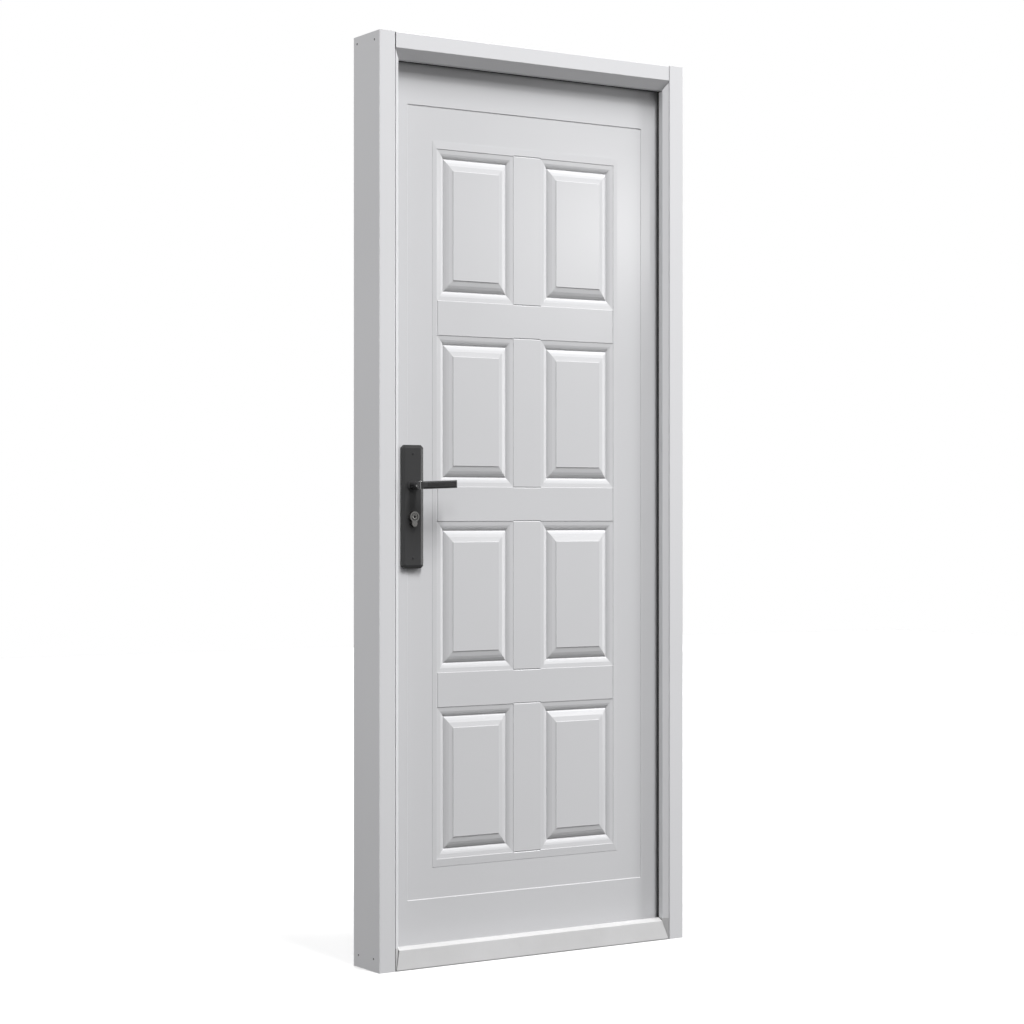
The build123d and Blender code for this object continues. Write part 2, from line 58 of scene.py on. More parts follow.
# %% [markdown]
# Camera. The picture is taken level, from the left of the door and turned to the right.
# A door is all long straight edges, so a wrong lens or place shows at once. The lens and the turn
# come from where the edges' lines meet, and a small upward shift sets the horizon, so that the
# upright edges stay upright. Tilting the camera instead would make them lean together.

# %% Camera
IMAGE_SIDE = 1024
FOCAL_PIXELS = 2367.17
HORIZON_ROW = 514.52
SENSOR = 36.0
CAMERA_OFFSET = Vector((-2.52743, -4.48056, 0.99677))
CAMERA_TURN = 0.5695

front_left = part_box("left_jamb")[0]
camera_data = bpy.data.cameras.new("camera")
camera_data.sensor_width = SENSOR
camera_data.lens = FOCAL_PIXELS * SENSOR / IMAGE_SIDE
camera_data.shift_y = (HORIZON_ROW - IMAGE_SIDE / 2) / IMAGE_SIDE
camera_data.clip_end = 50
camera = bpy.data.objects.new("camera", camera_data)
scene.collection.objects.link(camera)
camera.location = Vector((front_left.x, front_left.y, 0)) + CAMERA_OFFSET
camera.rotation_euler = (math.radians(90), 0, -CAMERA_TURN)
scene.camera = camera
scene.view_settings.view_transform = "Standard"
print("lens in millimetres:", round(camera_data.lens, 1))

# %% [markdown]
# Shared effects. Most finishes here are the same few things in other amounts: a faint relief,
# a roughness that wanders, and a colour that is never quite even. Each is a node group with
# named inputs, built once, so that a material only says how much of it there is. The groups give
# out colours, values and heights; the shader stays in the material.

# %% Helpers for node groups
def new_group(name, inputs, outputs):
    """An empty shader group with its sockets, and its input and output nodes."""
    group = bpy.data.node_groups.new(name, "ShaderNodeTree")
    for label, kind, value in inputs:
        socket = group.interface.new_socket(label, in_out="INPUT", socket_type=kind)
        if value is not None:
            socket.default_value = value
    for label, kind in outputs:
        group.interface.new_socket(label, in_out="OUTPUT", socket_type=kind)
    start = group.nodes.new("NodeGroupInput")
    end = group.nodes.new("NodeGroupOutput")
    return group, start, end


def noise(tree, vector, scale, detail=2.0, roughness=0.5):
    """A noise pattern around 0.5, read at a vector, with its scale from a socket or a number."""
    node = tree.nodes.new("ShaderNodeTexNoise")
    tree.links.new(vector, node.inputs["Vector"])
    if isinstance(scale, (int, float)):
        node.inputs["Scale"].default_value = scale
    else:
        tree.links.new(scale, node.inputs["Scale"])
    node.inputs["Detail"].default_value = detail
    node.inputs["Roughness"].default_value = roughness
    return node.outputs["Fac"]


def maths(tree, operation, *values, clamp=False):
    """One math node whose inputs are sockets or numbers."""
    node = tree.nodes.new("ShaderNodeMath")
    node.operation = operation
    node.use_clamp = clamp
    for socket, value in zip(node.inputs, values):
        if isinstance(value, (int, float)):
            socket.default_value = value
        else:
            tree.links.new(value, socket)
    return node.outputs[0]


def centred(tree, pattern, amount):
    """A pattern around 0.5 turned into a swing whose full width is an amount."""
    return maths(tree, "MULTIPLY", maths(tree, "SUBTRACT", pattern, 0.5), amount)


print("helpers ready")

# %% [markdown]
# Powder coat. The frame and the leaf are sprayed with powder that melts into one skin. Up close
# it has the soft dimples of orange peel, about a millimetre across and some hundredths deep, and
# its shade and gloss change slowly from one arm's reach to the next. The dimples are far too
# small to model, so two noises make the bump, and a third, slow one shifts shade and roughness.

# %% Powder coat group
SPECK_SCALE = 3800.0
SPECK_SHARE = 0.25
SLOW_SCALE = 2.3

powder_group, start, end = new_group(
    "powder_coat",
    [("Vector", "NodeSocketVector", None), ("Colour", "NodeSocketColor", (0.7, 0.7, 0.71, 1)),
     ("Roughness", "NodeSocketFloat", 0.35), ("Peel Scale", "NodeSocketFloat", 700.0),
     ("Spread", "NodeSocketFloat", 0.06)],
    [("Colour", "NodeSocketColor"), ("Roughness", "NodeSocketFloat"), ("Height", "NodeSocketFloat")])
where = start.outputs["Vector"]
peel = noise(powder_group, where, start.outputs["Peel Scale"], detail=1.0)
specks = noise(powder_group, where, SPECK_SCALE, detail=0.0)
slow = noise(powder_group, where, SLOW_SCALE, detail=3.0)
uneven = centred(powder_group, slow, start.outputs["Spread"])
shade = powder_group.nodes.new("ShaderNodeHueSaturation")
powder_group.links.new(start.outputs["Colour"], shade.inputs["Color"])
powder_group.links.new(maths(powder_group, "ADD", uneven, 1.0), shade.inputs["Value"])
rough = maths(powder_group, "ADD", start.outputs["Roughness"], uneven)
height = maths(powder_group, "ADD", peel, maths(powder_group, "MULTIPLY", specks, SPECK_SHARE))
powder_group.links.new(shade.outputs["Color"], end.inputs["Colour"])
powder_group.links.new(rough, end.inputs["Roughness"])
powder_group.links.new(height, end.inputs["Height"])
print("group:", powder_group.name)

# %% [markdown]
# Settled dust and handling marks. A door that stands in a showroom gathers a thin haze on
# whatever looks up, and hands leave marks here and there. Both tint the paint a touch in soft
# patches. They could be painted on by hand, but a mask from the surface normal finds every ledge
# by itself, and noise breaks it up.

# %% Dust and touch group
LEDGE_POWER = 1.5
PATCH_SCALE = 14.0
TOUCH_LIMIT = 0.58
TOUCH_SHARE = 0.04

dust_group, start, end = new_group(
    "dust_and_touch",
    [("Vector", "NodeSocketVector", None), ("Amount", "NodeSocketFloat", 0.3)],
    [("Mask", "NodeSocketFloat")])
geometry = dust_group.nodes.new("ShaderNodeNewGeometry")
split = dust_group.nodes.new("ShaderNodeSeparateXYZ")
dust_group.links.new(geometry.outputs["Normal"], split.inputs["Vector"])
ledges = maths(dust_group, "MAXIMUM", split.outputs["Z"], 0.0)
upward = maths(dust_group, "POWER", ledges, LEDGE_POWER)
patches = noise(dust_group, start.outputs["Vector"], PATCH_SCALE, detail=4.0, roughness=0.65)
broken = maths(dust_group, "MULTIPLY", upward, patches)
touched = maths(dust_group, "GREATER_THAN", patches, TOUCH_LIMIT)
marks = maths(dust_group, "ADD", broken, maths(dust_group, "MULTIPLY", touched, TOUCH_SHARE))
mask = maths(dust_group, "MULTIPLY", marks, start.outputs["Amount"], clamp=True)
dust_group.links.new(mask, end.inputs["Mask"])
print("group:", dust_group.name)

# %% [markdown]
# Brushed grain. Turned and brushed fittings carry fine scratches that all run one way. One noise
# stretched a hundred times along the grain gives them at any size: it drives a shallow bump and a
# change in roughness, so that a highlight breaks into lines. Cut scratches would be far too many
# to model. A second noise, not stretched, clouds the shade a little.

# %% Brushed grain group
GRAIN_STRETCH = (40.0, 40.0, 4000.0)
CLOUD_SCALE = 90.0
CLOUD_SWING = 0.14

brushed_group, start, end = new_group(
    "brushed_grain",
    [("Vector", "NodeSocketVector", None), ("Roughness", "NodeSocketFloat", 0.3),
     ("Spread", "NodeSocketFloat", 0.2)],
    [("Roughness", "NodeSocketFloat"), ("Height", "NodeSocketFloat"), ("Shade", "NodeSocketFloat")])
stretch = brushed_group.nodes.new("ShaderNodeMapping")
stretch.inputs["Scale"].default_value = GRAIN_STRETCH
brushed_group.links.new(start.outputs["Vector"], stretch.inputs["Vector"])
lines = noise(brushed_group, stretch.outputs["Vector"], 1.0, detail=3.0, roughness=0.6)
cloud = noise(brushed_group, start.outputs["Vector"], CLOUD_SCALE, detail=2.0)
uneven = centred(brushed_group, lines, start.outputs["Spread"])
rough = maths(brushed_group, "ADD", start.outputs["Roughness"], uneven)
shade = maths(brushed_group, "ADD", centred(brushed_group, cloud, CLOUD_SWING), 1.0)
brushed_group.links.new(rough, end.inputs["Roughness"])
brushed_group.links.new(lines, end.inputs["Height"])
brushed_group.links.new(shade, end.inputs["Shade"])
print("group:", brushed_group.name)

# %% [markdown]
# The finishes. Each one is a Principled shader that takes its colour, roughness and relief from a
# group, read in object coordinates, which here are metres in the door's own frame. Generated
# coordinates stretch with each piece's box, so the same grain would come out coarse on a long
# piece and fine on a short one.

# %% Helpers for finishes
MM = 0.001
FINISHES = {}


def place_effect(tree, group, values):
    """An effect group in a material, read at the surface in metres, with its own values."""
    effect = tree.nodes.new("ShaderNodeGroup")
    effect.node_tree = group
    where = tree.nodes.new("ShaderNodeTexCoord")
    tree.links.new(where.outputs["Object"], effect.inputs["Vector"])
    for label, value in values.items():
        effect.inputs[label].default_value = value
    return effect


def new_finish(name, group, values, metallic=0.0, specular=0.5):
    """A material with one effect group in front of its shader."""
    material = bpy.data.materials.new(name)
    material.use_nodes = True
    tree = material.node_tree
    shader = tree.nodes["Principled BSDF"]
    shader.inputs["Metallic"].default_value = metallic
    shader.inputs["Specular IOR Level"].default_value = specular
    effect = place_effect(tree, group, values)
    tree.links.new(effect.outputs["Roughness"], shader.inputs["Roughness"])
    FINISHES[name] = material
    return tree, shader, effect


def add_relief(tree, shader, height, depth):
    """A bump of a real depth in metres from a height pattern."""
    bump = tree.nodes.new("ShaderNodeBump")
    bump.inputs["Distance"].default_value = depth
    tree.links.new(height, bump.inputs["Height"])
    tree.links.new(bump.outputs["Normal"], shader.inputs["Normal"])


def mix_colours(tree, factor, first, second):
    """The mix of two colours, each a socket or a colour."""
    mix = tree.nodes.new("ShaderNodeMix")
    mix.data_type = "RGBA"
    tree.links.new(factor, mix.inputs[0])
    # The node has inputs of the same names for each kind of data. Its colours are 6 and 7.
    for socket, value in ((mix.inputs[6], first), (mix.inputs[7], second)):
        if isinstance(value, tuple):
            socket.default_value = value
        else:
            tree.links.new(value, socket)
    return mix.outputs[2]


print("finish helpers ready")

# %% [markdown]
# Paint on steel. The frame is satin, and the leaf is a little glossier, as pressed and sprayed
# leaves are. Both are a pale cool grey, the leaf's a touch darker, and dust tints what looks up.
# A clear coat over the colour would shine too, but powder is a single layer, so the leaf just
# gets a lower roughness.

# %% Painted steel
FRAME_COLOUR = (0.700, 0.701, 0.716, 1)
LEAF_COLOUR = (0.640, 0.641, 0.655, 1)
DUST = (0.74, 0.73, 0.71, 1)
PEEL_DEPTH = 0.02 * MM


def painted(name, colour, roughness, dust):
    """Powder coat with a haze of dust on what looks up."""
    tree, shader, effect = new_finish(name, powder_group, {"Colour": colour, "Roughness": roughness})
    haze = place_effect(tree, dust_group, {"Amount": dust})
    tinted = mix_colours(tree, haze.outputs["Mask"], effect.outputs["Colour"], DUST)
    tree.links.new(tinted, shader.inputs["Base Color"])
    add_relief(tree, shader, effect.outputs["Height"], PEEL_DEPTH)


painted("frame_paint", FRAME_COLOUR, roughness=0.38, dust=0.3)
painted("leaf_paint", LEAF_COLOUR, roughness=0.22, dust=0.2)
painted("barrel_paint", FRAME_COLOUR, roughness=0.40, dust=0.3)
print("painted finishes:", len(FINISHES))

# %% [markdown]
# The sill has the same paint as the jambs and the head. Its face gets painted shade: the paint
# turns darker, in mottled patches, where the sill lies, as if less light fell on it. It could have
# a finish of its own, but the record names one paint for all of them. So the shade is read from
# object coordinates: between the jambs and below the sill's own top.

# %% Painted shade on the sill
SILL_SHADE = (0.30, 0.295, 0.285, 1)
SILL_SHADE_SHARE = 0.42
MOTTLE_SCALE = 9.0
MOTTLE_SWING = 0.28
TOP_MARGIN = 0.5 * MM

sill_low, sill_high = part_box("threshold")
tree = FINISHES["frame_paint"].node_tree
paint = tree.nodes["Principled BSDF"].inputs["Base Color"]
unshaded = paint.links[0].from_socket
where = tree.nodes.new("ShaderNodeTexCoord").outputs["Object"]
axes = tree.nodes.new("ShaderNodeSeparateXYZ")
tree.links.new(where, axes.inputs["Vector"])
between = maths(tree, "LESS_THAN", maths(tree, "ABSOLUTE", axes.outputs["X"]), sill_high.x)
below = maths(tree, "LESS_THAN", axes.outputs["Z"], sill_high.z + TOP_MARGIN)
pattern = noise(tree, where, MOTTLE_SCALE, detail=4.0, roughness=0.6)
mottled_shade = maths(tree, "ADD", centred(tree, pattern, MOTTLE_SWING), SILL_SHADE_SHARE)
sill_shade_mask = maths(tree, "MULTIPLY", maths(tree, "MULTIPLY", between, below), mottled_shade, clamp=True)
# Painted shade: the sill's colour is darkened in mottled patches.
tree.links.new(mix_colours(tree, sill_shade_mask, unshaded, SILL_SHADE), paint)
print("sill from", round(sill_low.x, 4), "to", round(sill_high.x, 4), "up to", round(sill_high.z, 4))

# %% [markdown]
# Black fittings. Plates and levers are plated near black with a satin gloss, so most of what is
# seen on them is the room. The grip strips are cut into fine points that each catch some light,
# so their black is a little paler and duller. Both are the powder group with a finer peel than
# the paint's, and no dust, so one helper makes them.

# %% Black fittings
BLACK = (0.050, 0.050, 0.051, 1)
GRIP_BLACK = (0.058, 0.058, 0.058, 1)


def plain_coat(name, colour, roughness, peel_scale, spread, depth, specular=0.5):
    """A dustless coat of one colour, with its own peel, unevenness and relief."""
    values = {"Colour": colour, "Roughness": roughness, "Peel Scale": peel_scale, "Spread": spread}
    tree, shader, effect = new_finish(name, powder_group, values, specular=specular)
    tree.links.new(effect.outputs["Colour"], shader.inputs["Base Color"])
    add_relief(tree, shader, effect.outputs["Height"], depth)


plain_coat("black_metal", BLACK, roughness=0.2, peel_scale=2600.0, spread=0.1, depth=0.004 * MM)
plain_coat("grip_black", GRIP_BLACK, roughness=0.45, peel_scale=1800.0, spread=0.12, depth=0.03 * MM)
print("black finishes ready")

# %% [markdown]
# Bare metal. The key cylinder is satin nickel, the face plate, bolts and strike are plated
# steel, and the hinge pins and spindle are zinc plated: the same brushed grain, each with its
# own colour and dullness. What differs fits in a small table, so one loop makes all three.

# %% Bare metal
# The colour, the roughness and the depth of the grain.
METALS = {
    "nickel": ((0.66, 0.65, 0.63, 1), 0.24, 0.02 * MM),
    "lock_steel": ((0.78, 0.78, 0.77, 1), 0.46, 0.03 * MM),
    "pin_steel": ((0.74, 0.75, 0.76, 1), 0.46, 0.03 * MM),
}
for name, (colour, roughness, depth) in METALS.items():
    tree, shader, effect = new_finish(name, brushed_group, {"Roughness": roughness}, metallic=1.0)
    tone = tree.nodes.new("ShaderNodeHueSaturation")
    tone.inputs["Color"].default_value = colour
    tree.links.new(effect.outputs["Shade"], tone.inputs["Value"])
    tree.links.new(tone.outputs["Color"], shader.inputs["Base Color"])
    add_relief(tree, shader, effect.outputs["Height"], depth)
print("metals:", ", ".join(METALS))

# %% [markdown]
# Rubber. The seals are extruded black rubber: dull, slightly mottled, with a fine skin. The
# helper for the black fittings makes this too, with a darker and duller black, a deeper relief
# and a weaker shine.

# %% Rubber
RUBBER = (0.012, 0.012, 0.013, 1)

plain_coat(
    "seal_rubber", RUBBER, roughness=0.68, peel_scale=1500.0, spread=0.16, depth=0.05 * MM,
    specular=0.35)
print("finishes:", ", ".join(sorted(FINISHES)))

# %% [markdown]
# Every solid piece of the door already names the finish it is made in, so giving them out is one
# loop over the record.

# %% Give the pieces their finishes
for part in frame["record"]["subparts"]:
    for slot in nodes[part["node"]].material_slots:
        slot.material = FINISHES[part["material_slot"]]

# %% [markdown]
# Small fittings. What follows is made here and not in the solid model, because it is too small to
# matter to it: a ring on each lever's neck, the cut grip strips, dished key plugs, and screws.
# A helper turns the faces of each shape outwards and ties it to the body it moves with.

# %% Helper for new pieces
def add_piece(name, shape, body, slot):
    """A bmesh becomes an object with its finish, tied to the body it moves with."""
    bmesh.ops.recalc_face_normals(shape, faces=shape.faces)
    mesh = bpy.data.meshes.new(name)
    shape.to_mesh(mesh)
    shape.free()
    mesh.materials.append(FINISHES[slot])
    piece = bpy.data.objects.new(name, mesh)
    scene.collection.objects.link(piece)
    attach(piece, body)
    print(f"{name}: {len(mesh.polygons)} faces")
    return piece


# %% [markdown]
# Where the lever sits. The lever's axis runs straight through the leaf, and the indoor lever is
# the outdoor one mirrored in the middle of the leaf. So rings, strips and plugs are shaped for
# outdoors and reflected for indoors.

# %% The lever's place
SIDES = {"outer": False, "inner": True}

lever_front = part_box("outer_lever")[0].y
lever_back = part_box("inner_lever")[1].y
spindle_low, spindle_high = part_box("spindle")
LEVER_AXIS = (spindle_low + spindle_high) / 2
LEAF_MIDDLE = (lever_front + lever_back) / 2
print("lever axis:", [round(v, 4) for v in LEVER_AXIS])


def for_both_sides(shape, indoors):
    """Mirrors a shape to the indoor side when asked."""
    if indoors:
        bmesh.ops.scale(shape, vec=(1, -1, 1), verts=shape.verts)
        bmesh.ops.translate(shape, vec=(0, 2 * LEAF_MIDDLE, 0), verts=shape.verts)
    return shape


# %% [markdown]
# The neck ring. Where the round neck meets the grip a thin bright ring covers the joint. It
# could be a torus primitive, but a spun profile is better here: a small rounded section is
# carried once round the lever's axis, and its size is the ring's real section.

# %% Neck rings
GRIP_THICK = 17 * MM
RING_RADIUS = 9.25 * MM
RING_SECTION = 0.65 * MM
RING_STEPS = 64
SECTION_SIDES = 10


def spun_ring(centre, radius, section_radius):
    """A round wire ring about an axis that runs through the leaf."""
    shape = bmesh.new()
    section = bmesh.ops.create_circle(
        shape, cap_ends=False, radius=section_radius, segments=SECTION_SIDES)["verts"]
    bmesh.ops.translate(shape, vec=centre + Vector((radius, 0, 0)), verts=section)
    bmesh.ops.spin(
        shape, geom=shape.edges[:], cent=centre, axis=(0, 1, 0), angle=math.tau, steps=RING_STEPS,
        use_merge=True)
    for face in shape.faces:
        face.smooth = True
    return shape


neck_front = Vector((LEVER_AXIS.x, lever_front + GRIP_THICK, LEVER_AXIS.z))
for side, indoors in SIDES.items():
    ring = spun_ring(neck_front, RING_RADIUS, RING_SECTION)
    add_piece(f"{side}_neck_ring", for_both_sides(ring, indoors), "lever", "nickel")

# %% [markdown]
# The cut grip. The strip let into the lever is cut both ways into small blunt points. A bump
# would look flat from the side, so the points are real: a grid of squares, each inset and
# lifted, with one flat face behind them all. The top edges of the outermost points also run back
# into the strip's pocket as short walls.

# %% The shape of a grip strip
GRIP_TALL = 10 * MM
GRIP_DEPTH = 1.2 * MM
POINT_PITCH = 1.42 * MM
POINT_HEIGHT = 0.55 * MM
POINT_SLOPE = 0.32 * POINT_PITCH


def open_edges(shape):
    """The edges that only one face uses."""
    return [edge for edge in shape.edges if edge.is_boundary]


def cut_strip(length):
    """A bed of points that stands on the XY plane and looks up."""
    shape = bmesh.new()
    bmesh.ops.create_grid(
        shape, x_segments=round(length / POINT_PITCH), y_segments=round(GRIP_TALL / POINT_PITCH),
        size=0.5)
    points = shape.faces[:]
    rim = open_edges(shape)
    bmesh.ops.scale(shape, vec=(length, GRIP_TALL, 1), verts=shape.verts)
    bmesh.ops.inset_individual(shape, faces=points, thickness=POINT_SLOPE, depth=POINT_HEIGHT)
    walls = bmesh.ops.extrude_edge_only(shape, edges=rim)["geom"]
    lower = [item for item in walls if isinstance(item, bmesh.types.BMVert)]
    bmesh.ops.translate(shape, vec=(0, 0, POINT_HEIGHT - GRIP_DEPTH), verts=lower)
    bmesh.ops.holes_fill(shape, edges=open_edges(shape))
    return shape


print("rows of points:", round(GRIP_TALL / POINT_PITCH))

# %% [markdown]
# The strip's place. It is built lying down, stood against the door, and tipped up about the
# lever's axis by the lever's small rise. Turning the object would be quicker, but a piece keeps
# its place in its mesh here, as the solid pieces do. It takes the place of the plain strip.

# %% Grip strips
GRIP_START, GRIP_END = 8 * MM, 79 * MM
RISE = math.radians(2)
# Turns a shape that was built looking up so that it looks outdoors.
FACE_OUT = Matrix.Rotation(math.radians(90), 4, "X")

along = (GRIP_START + GRIP_END) / 2
place = Matrix.Translation((LEVER_AXIS.x + along, lever_front + POINT_HEIGHT, LEVER_AXIS.z))
pivot = Matrix.Translation(LEVER_AXIS)
tilt = pivot @ Matrix.Rotation(-RISE, 4, "Y") @ pivot.inverted()
for side, indoors in SIDES.items():
    shape = cut_strip(GRIP_END - GRIP_START)
    bmesh.ops.transform(shape, matrix=tilt @ place @ FACE_OUT, verts=shape.verts)
    strip = add_piece(f"{side}_grip_points", for_both_sides(shape, indoors), "lever", "grip_black")
    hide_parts(f"{side}_grip_insert")

# %% [markdown]
# The key plug. Its face has a rounded rim and a shallow dish round the keyway, which guides the
# key in. The plain plug is only a disc with a slot, so this one takes its place: a disc whose rim
# is bevelled, and whose top is inset, then inset once more and sunk. A turned profile would do
# as well, but insets keep the dish's floor a single flat face.

# %% The shape of a key plug
PLUG_SEGMENTS = 48
RIM = 1.1 * MM
DISH_RADIUS = 4.9 * MM
DISH_DEPTH = 0.9 * MM


def highest_face(shape):
    """The face whose middle lies highest, and the largest where several lie as high."""
    return max(shape.faces, key=lambda face: (face.calc_center_median().z, face.calc_area()))


def dished_plug(radius, length):
    """A disc that hangs below the XY plane, its rim rounded and its top dished."""
    shape = bmesh.new()
    bmesh.ops.create_cone(
        shape, cap_ends=True, segments=PLUG_SEGMENTS, radius1=radius, radius2=radius, depth=length)
    bmesh.ops.translate(shape, vec=(0, 0, -length / 2), verts=shape.verts)
    bmesh.ops.bevel(
        shape, geom=highest_face(shape).edges[:], offset=RIM, affect="EDGES", segments=3,
        profile=0.5, material=-1)
    flat = radius - RIM - DISH_RADIUS
    bmesh.ops.inset_region(shape, faces=[highest_face(shape)], thickness=flat, depth=0)
    dish = [highest_face(shape)]
    bmesh.ops.inset_region(shape, faces=dish, thickness=DISH_DEPTH, depth=-DISH_DEPTH)
    return shape


print("dish radius in millimetres:", round(DISH_RADIUS / MM, 2))

# %% [markdown]
# The key's mouth and the gap. The keyway and the gap round the plug are too deep and narrow to
# see into, so only shade shows there. Cutting them would need the cylinder cut too, so that
# shade is painted: a black disc ends just above the dish's floor as the mouth, and a black ring
# lines the plug's edge as the gap.

# %% Key plugs
MOUTH_SEGMENTS = 24
MOUTH_RADIUS = 2.9 * MM
MOUTH_LENGTH = 2 * DISH_DEPTH
MOUTH_PROUD = 0.15 * DISH_DEPTH
GAP_CLEAR = 0.1 * MM
GAP_SECTION = 0.55 * MM

plug_low, plug_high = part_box("outer_key_plug")
plug_middle = (plug_low + plug_high) / 2
plug_face = Vector((plug_middle.x, plug_low.y, plug_middle.z))
plug_radius = (plug_high.x - plug_low.x) / 2
mouth_middle = plug_face + Vector((0, DISH_DEPTH - MOUTH_PROUD + MOUTH_LENGTH / 2, 0))
plug_place = Matrix.Translation(plug_face) @ FACE_OUT
mouth_place = Matrix.Translation(mouth_middle) @ FACE_OUT
for side, indoors in SIDES.items():
    shape = dished_plug(plug_radius, plug_high.y - plug_low.y)
    bmesh.ops.transform(shape, matrix=plug_place, verts=shape.verts)
    plug = add_piece(f"{side}_dished_plug", for_both_sides(shape, indoors), "leaf", "nickel")
    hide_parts(f"{side}_key_plug")
    # Painted shade: a black disc where the keyway's dark inside would be.
    shape = bmesh.new()
    bmesh.ops.create_cone(
        shape, cap_ends=True, segments=MOUTH_SEGMENTS, radius1=MOUTH_RADIUS, radius2=MOUTH_RADIUS,
        depth=MOUTH_LENGTH)
    bmesh.ops.transform(shape, matrix=mouth_place, verts=shape.verts)
    add_piece(f"{side}_keyway_shade", for_both_sides(shape, indoors), "leaf", "seal_rubber")
    # Painted shade: a black ring where the gap round the plug would be dark.
    shape = spun_ring(plug_face, plug_radius + GAP_CLEAR, GAP_SECTION)
    add_piece(f"{side}_plug_gap_shade", for_both_sides(shape, indoors), "leaf", "seal_rubber")

# %% [markdown]
# Screws. Every screw here shows a low round head with a cross cut in it. A cut with a second
# solid would leave ragged faces, so one helper shapes them all from a disc: its rim slopes up,
# its middle is inset, pinched in four places into a cross, and pushed down. Pinching merges each
# quarter's points into one corner.

# %% The shape of a screw head
HEAD_SEGMENTS = 24
# Shares of the head's radius.
RIM_SHARE = 0.28
CROSS_SHARE = 0.55
# Shares of the head's height.
RIM_RISE = 0.35
CROWN_RISE = 0.1
# Shares of the cross's radius.
CORNER_SHARE = 0.24
WALL_SHARE = 0.06
DEPTH_SHARE = 0.55
PINCH_REACH = math.radians(32)


def screw_head(radius, height):
    """A low round head on the XY plane, looking up, with a cross cut in it."""
    cross = radius * CROSS_SHARE
    shape = bmesh.new()
    bmesh.ops.create_circle(shape, cap_ends=True, radius=radius, segments=HEAD_SEGMENTS)
    half_step = Matrix.Rotation(math.pi / HEAD_SEGMENTS, 3, "Z")
    bmesh.ops.rotate(shape, cent=(0, 0, 0), matrix=half_step, verts=shape.verts)
    lifted = bmesh.ops.extrude_face_region(shape, geom=shape.faces[:])["geom"]
    top = [item for item in lifted if isinstance(item, bmesh.types.BMVert)]
    bmesh.ops.translate(shape, vec=(0, 0, height), verts=top)
    bmesh.ops.recalc_face_normals(shape, faces=shape.faces)
    slope = radius * RIM_SHARE
    for width, share in ((slope, RIM_RISE), (radius - slope - cross, CROWN_RISE)):
        middle = [highest_face(shape)]
        bmesh.ops.inset_region(shape, faces=middle, thickness=width, depth=height * share)
    crown = highest_face(shape)
    level = crown.calc_center_median().z
    corners = list(crown.verts)
    for quarter in range(4):
        away = Vector((1, 1)) @ Matrix.Rotation(quarter * math.pi / 2, 2)
        pinched = [v for v in corners if v.is_valid and v.co.xy.angle(away) < PINCH_REACH]
        corner = away.normalized() * cross * CORNER_SHARE
        bmesh.ops.pointmerge(shape, verts=pinched, merge_co=(*corner, level))
    cut = [highest_face(shape)]
    bmesh.ops.inset_region(
        shape, faces=cut, thickness=cross * WALL_SHARE, depth=-cross * DEPTH_SHARE)
    return shape


def add_screw(name, centre, outward, radius, height, body):
    """A black screw head that stands on a surface and looks along outward."""
    shape = screw_head(radius, height)
    turn = Vector(outward).to_track_quat("Z", "Y").to_matrix().to_4x4()
    bmesh.ops.transform(shape, matrix=Matrix.Translation(centre) @ turn, verts=shape.verts)
    add_piece(name, shape, body, "black_metal")


print("screw helper ready")

# %% [markdown]
# The plates are held by two small black screws each, above the lever and below the cylinder. The
# collar for the lever's neck stands proud of the plate, so the plate's own face lies that much
# inside the plate's box.

# %% Plate screws
COLLAR_PROUD = 1.5 * MM
PLATE_SCREW_LEVELS = {"upper": 1.1307, "lower": 0.9012}
PLATE_SCREW_RADIUS = 2.6 * MM
PLATE_SCREW_RISE = 0.6 * MM

for side, indoors in SIDES.items():
    low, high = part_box(f"{side}_plate")
    face = high.y - COLLAR_PROUD if indoors else low.y + COLLAR_PROUD
    outward = (0, 1 if indoors else -1, 0)
    for level, height in PLATE_SCREW_LEVELS.items():
        centre = (LEVER_AXIS.x, face, height)
        name = f"{side}_plate_{level}_screw"
        add_screw(name, centre, outward, PLATE_SCREW_RADIUS, PLATE_SCREW_RISE, "leaf")

# %% [markdown]
# Fixing screws. The frame is screwed to the wall through its sides, near the top and the foot, a
# pair at each place, one near the front and one near the back. Their black heads stand only 0.03
# millimetres proud of the sheet, so that the door keeps its width. The sheet isn't cut under
# them, so its paint fills their crosses. Plain dots would do from afar, but the same helper makes
# these too.

# %% Frame fixing screws
FIXING_RADIUS = 2.5 * MM
FIXING_RISE = 0.05 * MM
FIXING_SUNK = 0.045 * MM
# How far behind the frame's front and how far above the floor, in millimetres.
FIXING_PLACES = {
    "top_front": (22.7, 2031.7),
    "top_back": (100.5, 2034.1),
    "foot_front": (26.7, 28.1),
    "foot_back": (94.1, 26.3),
}

for side in ("left", "right"):
    low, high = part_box(f"{side}_jamb")
    x = low.x + FIXING_SUNK if side == "left" else high.x - FIXING_SUNK
    outward = (-1 if side == "left" else 1, 0, 0)
    for place, (depth, height) in FIXING_PLACES.items():
        centre = (x, low.y + depth * MM, height * MM)
        name = f"{side}_fixing_{place}"
        add_screw(name, centre, outward, FIXING_RADIUS, FIXING_RISE, "frame")

# %% [markdown]
# The studio. Mouldings in one pale colour show only by their shading, so most of the light comes
# from one large softbox high in front. Weaker ones lower in front, at the right and at the left
# soften its shadows, and two more light the indoor side. A single sun would be simpler, but its
# shadows are hard and its gloss is a dot.

# %% Softboxes
LAMP_AIM = Vector((0, 0, 1.1))
SOFTBOX_SIZE = (3.0, 4.5)
SOFTBOX_DISTANCE = 16
# The turn to the right and the height above level in degrees, and the power in watts.
SOFTBOXES = {
    "overhead_softbox": (5, 64, 2480),
    "front_softbox": (5, 50, 370),
    "right_softbox": (60, 35, 970),
    "left_softbox": (-30, 45, 290),
    "indoor_softbox": (150, 40, 2300),
    "indoor_left_softbox": (-140, 30, 350),
}


